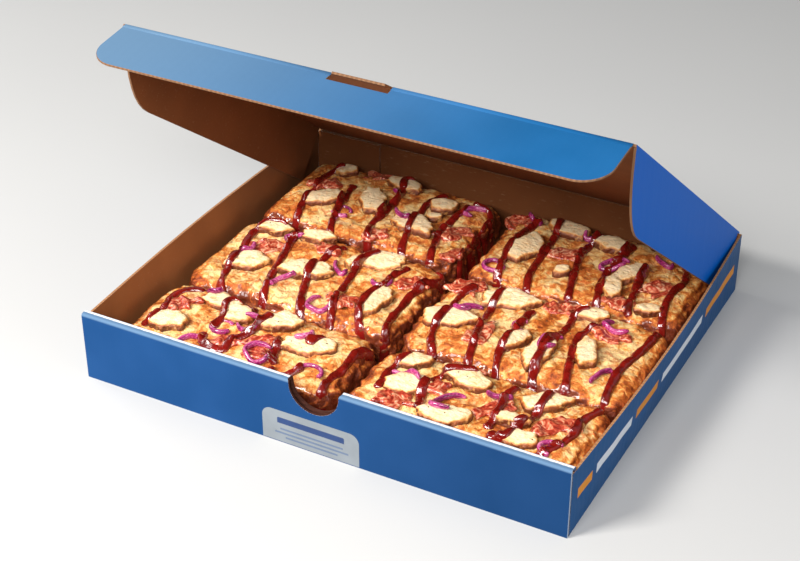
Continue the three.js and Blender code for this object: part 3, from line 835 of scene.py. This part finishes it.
# Further pieces, in mm: middle (x, y), length, width, turn in degrees.
CHICKEN_EXTRA = [
    (-139, 134, 18, 13, 33), (-45, 103, 12, 9, 0), (80, -20, 25, 13, 70), (30, -74, 24, 13, 28),
    (-104, -82, 24, 16, -10), (73, 77, 12, 10, 20), (113, 74, 28, 14, 120), (116, -104, 20, 10, 10),
    (-66, 16, 16, 10, 60), (146, 60, 18, 11, 20),
]
BACON_EXTRA = [
    (-116, 144, 20, 12, 10), (-49, -31, 18, 13, 0), (-68, -116, 20, 12, 10), (20, 26, 20, 14, 30),
    (38, -118, 22, 13, 20), (57, -93, 14, 10, 0), (-97, -112, 18, 10, 30), (-70, 60, 16, 10, 40),
    (122, 60, 18, 12, 0), (-10, 66, 16, 11, 80), (66, -52, 15, 9, 30),
]
# Further curls, in mm: middle (x, y), radius, width over length, start and sweep in degrees.
ONION_EXTRA = [
    (-118, -122, 8, 0.5, 20, 200), (-91, -90, 8, 0.9, 40, 300), (-66, -117, 9, 0.9, 30, 320),
    (-49, -87, 7, 0.6, 200, 190), (-99, -30, 9, 0.5, 10, 180), (-62, -41, 9, 0.9, 60, 290),
    (-72, 7, 9, 0.5, 20, 200), (-89, 116, 9, 0.6, 150, 190), (-65, 91, 8, 0.6, 0, 200),
    (-147, -3, 7, 0.7, 90, 240), (-122, 24, 7, 0.7, 40, 200), (25, 139, 7, 0.6, 20, 200),
    (104, 104, 11, 0.6, 10, 290), (36, -1, 10, 0.6, 20, 250), (105, -13, 12, 0.5, 10, 240),
    (136, 27, 9, 0.7, 300, 220), (149, -32, 9, 0.4, 0, 170), (75, -107, 14, 0.75, 20, 210),
    (35, -94, 12, 0.3, 200, 170), (98, -82, 8, 0.5, 0, 200), (74, 136, 8, 0.6, 120, 200),
    (-19, 125, 10, 0.6, 30, 220), (-136, -62, 7, 0.8, 60, 250), (134, 128, 9, 0.5, 20, 190),
]


# How much longer and wider the pieces are than the solids they replace.
CHICKEN_STRETCH = (1.06, 1.14)
BACON_STRETCH = (1.4, 1.45)
# Bacon: thickness and depth in the cheese, both in mm, and how ragged its outline is.
BACON_THICKNESS = 3.6
BACON_SINK = 0.8
BACON_RAGGED = 0.40
# Chicken: mean thickness in mm, and depth in the cheese.
CHICKEN_THICKNESS = 7.2
CHICKEN_SINK = 1.8 * MM
# Onion: half width, half height and how far it is plumped.
ONION_HALF_WIDTH = 1.35 * MM
ONION_HALF_HEIGHT = 2.0 * MM
ONION_PLUMP = 0.45 * MM


def directions(turn):
    """Unit vectors along the length and the width of a piece turned by this many degrees."""
    angle = math.radians(turn)
    cosine, sine = math.cos(angle), math.sin(angle)
    return Vector((cosine, sine, 0)), Vector((-sine, cosine, 0))


def stacked_faces(rings, count):
    """Faces of a closed solid made of rings of points, from the lowest to the highest."""
    faces = [tuple(range(count - 1, -1, -1))]
    for ring in range(rings - 1):
        for i in range(count):
            nxt = (i + 1) % count
            a = ring * count
            faces.append((a + i, a + nxt, a + count + nxt, a + count + i))
    top = (rings - 1) * count
    faces.append(tuple(range(top, top + count)))
    return faces


def bacon_part(surface, x, y, length, width, turn):
    """A ragged slab lying on the food: vertices and faces."""
    count = 14
    across, along = directions(turn)
    centre = Vector((x, y, 0)) * MM
    spots = [centre + across * (s * length * 0.3 * MM) for s in (-1, 0, 1)]
    low = sorted(surface.height(spot) for spot in spots)[1] - BACON_SINK * MM
    rings = [(0.90, 0.0), (1.0, 0.45), (0.93, 0.85), (0.80, 1.0)]
    edge = [random.uniform(1 - BACON_RAGGED, 1 + BACON_RAGGED * 0.5) for _ in range(count)]
    tilt = random.uniform(-0.06, 0.06)
    vertices = []
    for scale, rise in rings:
        for i in range(count):
            t = 2 * math.pi * i / count
            r = scale * edge[i]
            cx = math.copysign(abs(math.cos(t)) ** 0.8, math.cos(t)) * length / 2 * r * MM
            cy = math.copysign(abs(math.sin(t)) ** 0.8, math.sin(t)) * width / 2 * r * MM
            spot = centre + across * cx + along * cy
            z = low + rise * BACON_THICKNESS * MM + tilt * cx
            vertices.append(Vector((spot.x, spot.y, z)))
    return vertices, stacked_faces(len(rings), count)


def lying(node):
    """Middle (x, y), length, width and turn in degrees of a flat CAD piece, in mm."""
    points = np.array([v.co[:2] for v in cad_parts[node].data.vertices]) / MM
    middle = (points.min(0) + points.max(0)) / 2
    values, axes = np.linalg.eigh(np.cov((points - middle).T))
    long_axis = axes[:, 1]
    along = (points - middle) @ long_axis
    across = (points - middle) @ axes[:, 0]
    turn = math.degrees(math.atan2(long_axis[1], long_axis[0]))
    return (*middle, np.ptp(along), np.ptp(across), turn)


def cut_outline(count):
    """Distances from the middle to the edge of a rough shape with 5 to 7 nearly straight sides."""
    sides = random.randint(5, 7)
    cuts = []
    for i in range(sides):
        angle = 2 * math.pi * (i + random.uniform(-0.22, 0.22)) / sides
        cuts.append((angle, random.uniform(0.86, 1.06)))
    rough = [random.uniform(-0.09, 0.07) for _ in range(count)]
    outline = []
    for i in range(count):
        t = 2 * math.pi * i / count
        nearest = min(
            distance / math.cos(t - angle) for angle, distance in cuts if math.cos(t - angle) > 0.25
        )
        outline.append(min(1.22, nearest) + rough[i])
    return outline


def chicken_part(surface, x, y, length, width, turn):
    """A slice of roast chicken: a flat cut top and thick browned sides."""
    count = 30
    across, along = directions(turn)
    if along.y > 0:
        across, along = -across, -along
    centre = Vector((x, y, 0)) * MM
    reach = [
        centre + across * (s * length * 0.34 * MM) + along * (t * width * 0.3 * MM)
        for s in (-1, 0, 1) for t in (-1, 1)
    ]
    low = sorted(surface.height(spot) for spot in reach)[2] - CHICKEN_SINK
    thickness = (CHICKEN_THICKNESS + random.uniform(-0.5, 0.6)) * MM
    rings = [(0.90, 0.0), (1.0, 0.30), (1.02, 0.62), (0.98, 0.86), (0.88, 1.0), (0.55, 1.08)]
    outline = cut_outline(count)
    shift = random.uniform(-0.25, 0.25)
    roll = random.uniform(-0.02, 0.13)
    pitch = random.uniform(-0.05, 0.05)
    vertices = []
    for scale, rise in rings:
        for i in range(count):
            t = 2 * math.pi * i / count
            c, s = math.cos(t), math.sin(t)
            u = c * length / 2 * scale * outline[i] * MM
            w = s * width / 2 * scale * outline[i] * MM
            u += shift * w
            spot = centre + across * u + along * w
            z = low + rise * thickness - roll * w + pitch * u
            vertices.append(Vector((spot.x, spot.y, z)))
    return vertices, stacked_faces(len(rings), count)


def curl_part(surface, x, y, radius, flat, start, sweep):
    """A curled strip of onion lying on the food: vertices and faces."""
    steps = 22
    sides = 8
    turn = random.uniform(0, math.pi)
    spots = []
    for i in range(steps + 1):
        t = math.radians(start + sweep * i / steps)
        px = radius * math.cos(t) * (1 + 0.12 * math.sin(3 * t))
        py = radius * flat * math.sin(t)
        qx = x + px * math.cos(turn) - py * math.sin(turn)
        qy = y + px * math.sin(turn) + py * math.cos(turn)
        spots.append(Vector((qx, qy, 0)) * MM)
    heights = [surface.height(spot) for spot in spots]
    for _ in range(3):
        heights = [max(h, mean_around(heights, i)) for i, h in enumerate(heights)]
    path = []
    for i, (spot, height) in enumerate(zip(spots, heights)):
        lift = 0.9 * MM + 1.1 * MM * abs(math.sin(math.pi * i / steps * 1.5))
        path.append(Vector((spot.x, spot.y, height + lift)))
    return tube_part(path, sides, curl_size)


def mean_around(values, i):
    """The mean of a value and up to two on each side of it."""
    near = values[max(0, i - 2):i + 3]
    return sum(near) / len(near)


def curl_size(s):
    """Half width and half height of a curl, s of the way along it. Its ends taper."""
    taper = 0.35 + 0.65 * min(1.0, 8 * s, 8 * (1 - s))
    return ONION_HALF_WIDTH * taper, ONION_HALF_HEIGHT * taper


def tube_part(path, sides, size):
    """A closed tube with an upright oval section. size(s) gives its half width and half height."""
    vertices = []
    last = len(path) - 1
    for i, place in enumerate(path):
        ahead = path[min(last, i + 1)] - path[max(0, i - 1)]
        across = ahead.cross(UP).normalized()
        half_width, half_height = size(i / last)
        for k in range(sides):
            t = 2 * math.pi * k / sides
            sideways = across * (half_width * math.cos(t))
            vertices.append(place + sideways + UP * (half_height * math.sin(t)))
    faces = [tuple(range(sides)), tuple(range(last * sides + sides - 1, last * sides - 1, -1))]
    for i in range(last):
        for k in range(sides):
            nxt = (k + 1) % sides
            a = i * sides
            faces.append((a + k, a + sides + k, a + sides + nxt, a + nxt))
    return vertices, faces


def chicken_swell(place, normal):
    pit = ripple(place, 2.8 * MM, 0.9 - 0.5 * max(0.0, normal.z))
    return (pit + ripple(place, 9 * MM, 0.6)) * MM


def bacon_swell(place, normal):
    ridge = 0.5 - 2.2 * abs(ripple(place, 11 * MM, 1.0))
    return (2.2 * ridge + ripple(place, 7 * MM, 0.8, (5, 8, 1))) * MM


def onion_swell(place, normal):
    return ONION_PLUMP


def build_pieces(name, kind, extra, stretch, shape, surface, voxel, swell, material):
    """All pieces of one topping: those that replace CAD nodes, then the further ones."""
    nodes = nodes_named(kind + "_")
    parts = []
    for x, y, length, width, turn in [lying(node) for node in nodes] + extra:
        parts.append(shape(surface, x, y, stretch[0] * length, stretch[1] * width, turn))
    return build_food(name, parts, nodes, voxel, swell, material, kind)


def build_onion(surface):
    nodes = nodes_named("onion_")
    parts = [part_of(node) for node in nodes]
    parts += [curl_part(surface, *curl) for curl in ONION_EXTRA]
    onion = new_object("onion_curls", solid_mesh("onion_curls", parts), red_onion())
    merged(onion.data)
    soften = onion.modifiers.new("soften", "SUBSURF")
    soften.levels = 1
    applied(onion)
    moved_along_normals(onion, onion_swell)
    smooth_shaded(onion)
    return finished(onion, "tray", "onion", *nodes)


def build_toppings(slices):
    surface = Surface(slices)
    chicken = build_pieces("chicken_pieces", "chicken", CHICKEN_EXTRA, CHICKEN_STRETCH, chicken_part,
                           surface, 1.0 * MM, chicken_swell, roast_chicken())
    bacon = build_pieces("bacon_pieces", "bacon", BACON_EXTRA, BACON_STRETCH, bacon_part,
                         surface, 0.9 * MM, bacon_swell, crisp_bacon())
    onion = build_onion(Surface(slices + [chicken, bacon]))
    return [chicken, bacon, onion]


# ---------- sauce ----------

# Each stripe: points (x, y) in mm from its front end to its back end.
STRIPES = [
    [(-136, -57), (-143, -44), (-150, -11), (-156, 20), (-152, 35), (-134, 38)],
    [(-102, -57), (-111, -30), (-120, 5), (-125, 33), (-120, 42)],
    [(-70, -58), (-84, -27), (-90, -3), (-89, 18), (-83, 34)],
    [(-46, -58), (-55, -30), (-60, -3), (-63, 24), (-56, 37)],
    [(-21, -57), (-34, -34), (-34, -7), (-33, 12), (-28, 30)],
    [(-3, -56), (-10, -31), (-9, 12), (-2, 33), (-10, 42)],
    [(35, -57), (24, -35), (23, -7), (21, 14), (27, 30)],
    [(60, -57), (57, -41), (49, -4), (46, 33)],
    [(82, -58), (75, -32), (74, -1), (74, 23)],
    [(110, -58), (105, -45), (102, -17), (104, 12), (103, 32), (110, 41)],
    [(133, -58), (124, -29), (116, 7), (127, 34)],
    [(160, -57), (157, -40), (156, -14), (161, 21), (162, 40)],
    [(-136, 46), (-146, 77), (-150, 107), (-151, 125), (-143, 138)],
    [(-106, 45), (-116, 75), (-121, 99), (-125, 120)],
    [(-73, 46), (-83, 71), (-83, 92), (-84, 123), (-89, 139), (-81, 146)],
    [(-44, 45), (-50, 63), (-58, 102), (-58, 124), (-52, 140)],
    [(-21, 46), (-32, 85), (-32, 111), (-29, 135)],
    [(1, 46), (-4, 75), (-7, 112), (-8, 128), (-20, 139), (-29, 139)],
    [(35, 46), (30, 61), (23, 102), (27, 130), (29, 139)],
    [(58, 45), (51, 72), (50, 104), (44, 143)],
    [(90, 46), (81, 81), (75, 113), (79, 136)],
    [(112, 45), (102, 85), (103, 112), (105, 138)],
    [(133, 52), (128, 85), (125, 116)],
    [(161, 47), (155, 71), (154, 89), (156, 108), (150, 130)],
    [(-158, -122), (-155, -102), (-160, -83), (-155, -71), (-144, -63)],
    [(-113, -103), (-113, -90), (-119, -74), (-112, -67), (-96, -72)],
    [(-117, -108), (-111, -118), (-101, -122), (-93, -119), (-93, -107), (-86, -97), (-80, -76)],
    [(-54, -120), (-60, -104), (-64, -90)],
    [(-54, -121), (-47, -127), (-39, -124), (-34, -112)],
    [(-42, -94), (-36, -78)],
    [(-10, -134), (-12, -118), (-10, -101), (-10, -84), (-4, -68)],
    [(22, -112), (20, -87), (24, -64)],
    [(57, -120), (49, -95), (54, -79), (76, -66)],
    [(105, -118), (104, -96), (101, -76), (103, -64)],
    [(107, -120), (119, -123), (121, -109), (126, -94), (127, -62)],
    [(142, -132), (150, -116), (156, -99), (156, -80), (162, -62)],
]
STRIPE_STEP = 1.3 * MM
STRIPE_LANES = 9
# Mean half width and thickness in mm, and depth of the underside in the food.
STRIPE_HALF_WIDTH = 3.2
STRIPE_THICKNESS = 2.3
STRIPE_SINK = 0.7 * MM


def curve_through(points):
    """A smooth line through the points, with even steps."""
    ends = [2 * points[0] - points[1]] + points + [2 * points[-1] - points[-2]]
    line = []
    for i in range(1, len(ends) - 2):
        p0, p1, p2, p3 = ends[i - 1:i + 3]
        steps = max(2, round((p2 - p1).length / STRIPE_STEP))
        for k in range(steps):
            t = k / steps
            line.append(0.5 * (
                2 * p1 + (p2 - p0) * t + (2 * p0 - 5 * p1 + 4 * p2 - p3) * t ** 2
                + (3 * p1 - p0 - 3 * p2 + p3) * t ** 3
            ))
    line.append(points[-1])
    return line


def rounded_end(from_end):
    """Rises to 1 over the rounded end of a stripe."""
    return math.sqrt(min(1.0, (from_end + 0.15 * MM) / (2.6 * MM)))


def lane_side(lane):
    """From -1 at one side of a stripe to 1 at the other."""
    return 2 * lane / (STRIPE_LANES - 1) - 1


def ribbon_faces(last, wide, under):
    """Faces of a closed ribbon. Its top is rows 0 to last of wide points, and the points of its
    underside follow from number under."""
    faces = []
    for i in range(last):
        for k in range(wide - 1):
            a = i * wide + k
            faces.append((a, a + 1, a + wide + 1, a + wide))
            faces.append((under + a, under + a + wide, under + a + wide + 1, under + a + 1))
    for i in range(last):
        a = i * wide
        faces.append((a, a + wide, under + a + wide, under + a))
        b = a + wide - 1
        faces.append((b + wide, b, under + b, under + b + wide))
    for k in range(wide - 1):
        faces.append((k + 1, k, under + k, under + k + 1))
        a = last * wide + k
        faces.append((a, a + 1, under + a + 1, under + a))
    return faces


def stripe_part(surface, points, seed):
    """A ribbon of sauce that follows the food below it: vertices and faces."""
    line = curve_through([Vector((x, y, 0)) * MM for x, y in points])
    last = len(line) - 1
    rows = []
    for i, place in enumerate(line):
        ahead = (line[min(last, i + 1)] - line[max(0, i - 1)]).normalized()
        across = Vector((ahead.y, -ahead.x, 0))
        from_end = min(i, last - i) * STRIPE_STEP
        bead = 1 + 0.30 * math.exp(-(from_end / (4 * MM)) ** 2)
        sway = noise.noise(Vector((i * 0.11, seed * 3.7, 0)))
        half = (STRIPE_HALF_WIDTH + 0.9 * sway) * MM * bead * rounded_end(from_end)
        rows.append([place + across * (half * lane_side(lane)) for lane in range(STRIPE_LANES)])
    base = np.array([[surface.height(spot) for spot in row] for row in rows])
    for _ in range(2):
        padded = np.pad(base, ((1, 1), (1, 1)), mode="edge")
        base = (padded[1:-1, 1:-1] * 2 + padded[:-2, 1:-1] + padded[2:, 1:-1]
                + padded[1:-1, :-2] + padded[1:-1, 2:]) / 6
    vertices = []
    for i, row in enumerate(rows):
        swell = 0.8 * noise.noise(Vector((i * 0.16, seed * 1.9, 5)))
        cap = rounded_end(min(i, last - i) * STRIPE_STEP)
        thick = (STRIPE_THICKNESS + swell) * MM * cap
        for lane, spot in enumerate(row):
            arch = math.sqrt(1 - lane_side(lane) * lane_side(lane) * 0.98)
            vertices.append(Vector((spot.x, spot.y, base[i][lane] + thick * arch)))
    under = len(vertices)
    for i, row in enumerate(rows):
        for lane, spot in enumerate(row):
            vertices.append(Vector((spot.x, spot.y, base[i][lane] - STRIPE_SINK)))
    return vertices, ribbon_faces(last, STRIPE_LANES, under)


def build_sauce(food):
    surface = Surface(food)
    parts = [stripe_part(surface, points, seed) for seed, points in enumerate(STRIPES)]
    obj = new_object("sauce_stripes", solid_mesh("sauce_stripes", parts), barbecue_sauce())
    merged(obj.data, 0.001 * MM)
    smooth_shaded(obj)
    finished(obj, "tray", "pizza")


# A fleck of herb: a low pointed grain, as long as 1 on each side of its middle.
FLECK_CORNERS = [
    Vector((-1, -0.4, 0)), Vector((0.9, -0.6, 0.1)), Vector((1, 0.5, 0)),
    Vector((-0.6, 0.7, 0.1)), Vector((0, 0, 0.55)), Vector((0, 0, -0.6)),
]
FLECK_FACES = [
    (0, 1, 4), (1, 2, 4), (2, 3, 4), (3, 0, 4), (1, 0, 5), (2, 1, 5), (3, 2, 5), (0, 3, 5),
]
FLECK_TRIES = 260
SLICE_EDGE_HEIGHT = 22 * MM


def build_flecks(food):
    """Flecks strewn over the food. Those that would fall between the slices are left out."""
    surface = Surface(food)
    parts = []
    for _ in range(FLECK_TRIES):
        x = random.uniform(-168, 168) * MM
        y = random.uniform(-130, 146) * MM
        z = surface.height(Vector((x, y, 0)))
        if z < SLICE_EDGE_HEIGHT:
            continue
        size = random.uniform(0.35, 0.8) * MM
        turn = Matrix.Rotation(random.uniform(0, math.tau), 3, "Z")
        middle = Vector((x, y, z + 0.1 * MM))
        parts.append(([turn @ (corner * size) + middle for corner in FLECK_CORNERS], FLECK_FACES))
    obj = new_object("herb_flecks", solid_mesh("herb_flecks", parts), herb_fleck())
    smooth_shaded(obj)
    finished(obj, "tray", "pizza")


# ---------- studio ----------

FLOOR_HALF = 6.0
CAMERA_PLACE = (459.6, -903.9, 688.3)
CAMERA_TURN = (-27.945, 32.458, 0.071)
CAMERA_LENS = 76.38


def add_light(name, place, target, size, power, colour=(1, 1, 1)):
    light = bpy.data.lights.new(name, "AREA")
    light.shape = "RECTANGLE"
    light.size, light.size_y = size
    light.energy = power
    light.color = colour
    obj = bpy.data.objects.new(name, light)
    obj.location = place
    obj.rotation_euler = (Vector(target) - Vector(place)).to_track_quat("-Z", "Y").to_euler()
    bpy.context.scene.collection.objects.link(obj)


def build_studio():
    finish = Finish("studio_floor", 0.75)
    finish.set("Base Color", finish.mix(finish.noise(0.4, 2), (0.47, 0.47, 0.47), (0.50, 0.50, 0.495)))
    corners = [
        Vector((x * FLOOR_HALF, y * FLOOR_HALF, 0)) for x, y in ((-1, -1), (1, -1), (1, 1), (-1, 1))
    ]
    floor_mesh = solid_mesh("studio_floor", [(corners, [(0, 1, 2, 3)])])
    floor = new_object("studio_floor", floor_mesh, finish.material)
    world = bpy.data.worlds.new("studio")
    world.use_nodes = True
    background = world.node_tree.nodes["Background"]
    background.inputs["Color"].default_value = (0.93, 0.96, 1.0, 1)
    background.inputs["Strength"].default_value = 0.26
    bpy.context.scene.world = world
    add_light("key", (-0.70, -1.15, 1.12), (0, 0.03, 0.03), (0.5, 0.5), 41, (1, 0.97, 0.92))
    add_light("top", (0.30, -1.25, 1.10), (0, 0.05, 0.03), (0.8, 0.4), 23)
    add_light("left", (-1.5, 0.2, 0.8), (0, 0, 0.05), (0.5, 0.8), 7)
    add_light("right", (1.9, -0.5, 0.45), (0.18, 0, 0.08), (1.2, 0.7), 9)


def build_camera():
    camera = bpy.data.cameras.new("camera")
    camera.sensor_width = 36
    camera.lens = CAMERA_LENS
    camera.clip_start = 0.02
    obj = bpy.data.objects.new("camera", camera)
    obj.location = Vector(CAMERA_PLACE) * MM
    yaw, pitch, roll = (math.radians(a) for a in CAMERA_TURN)
    turn = Matrix.Rotation(-yaw, 3, "Z") @ Matrix.Rotation(math.pi / 2 - pitch, 3, "X")
    obj.rotation_euler = (turn @ Matrix.Rotation(roll, 3, "Z")).to_euler()
    bpy.context.scene.collection.objects.link(obj)
    bpy.context.scene.camera = obj


build_camera()
build_studio()
build_box()
baked = build_slices()
toppings = build_toppings(baked)
build_sauce(baked + toppings)
build_flecks(baked + toppings[:2])

bpy.context.scene.view_settings.view_transform = "Standard"
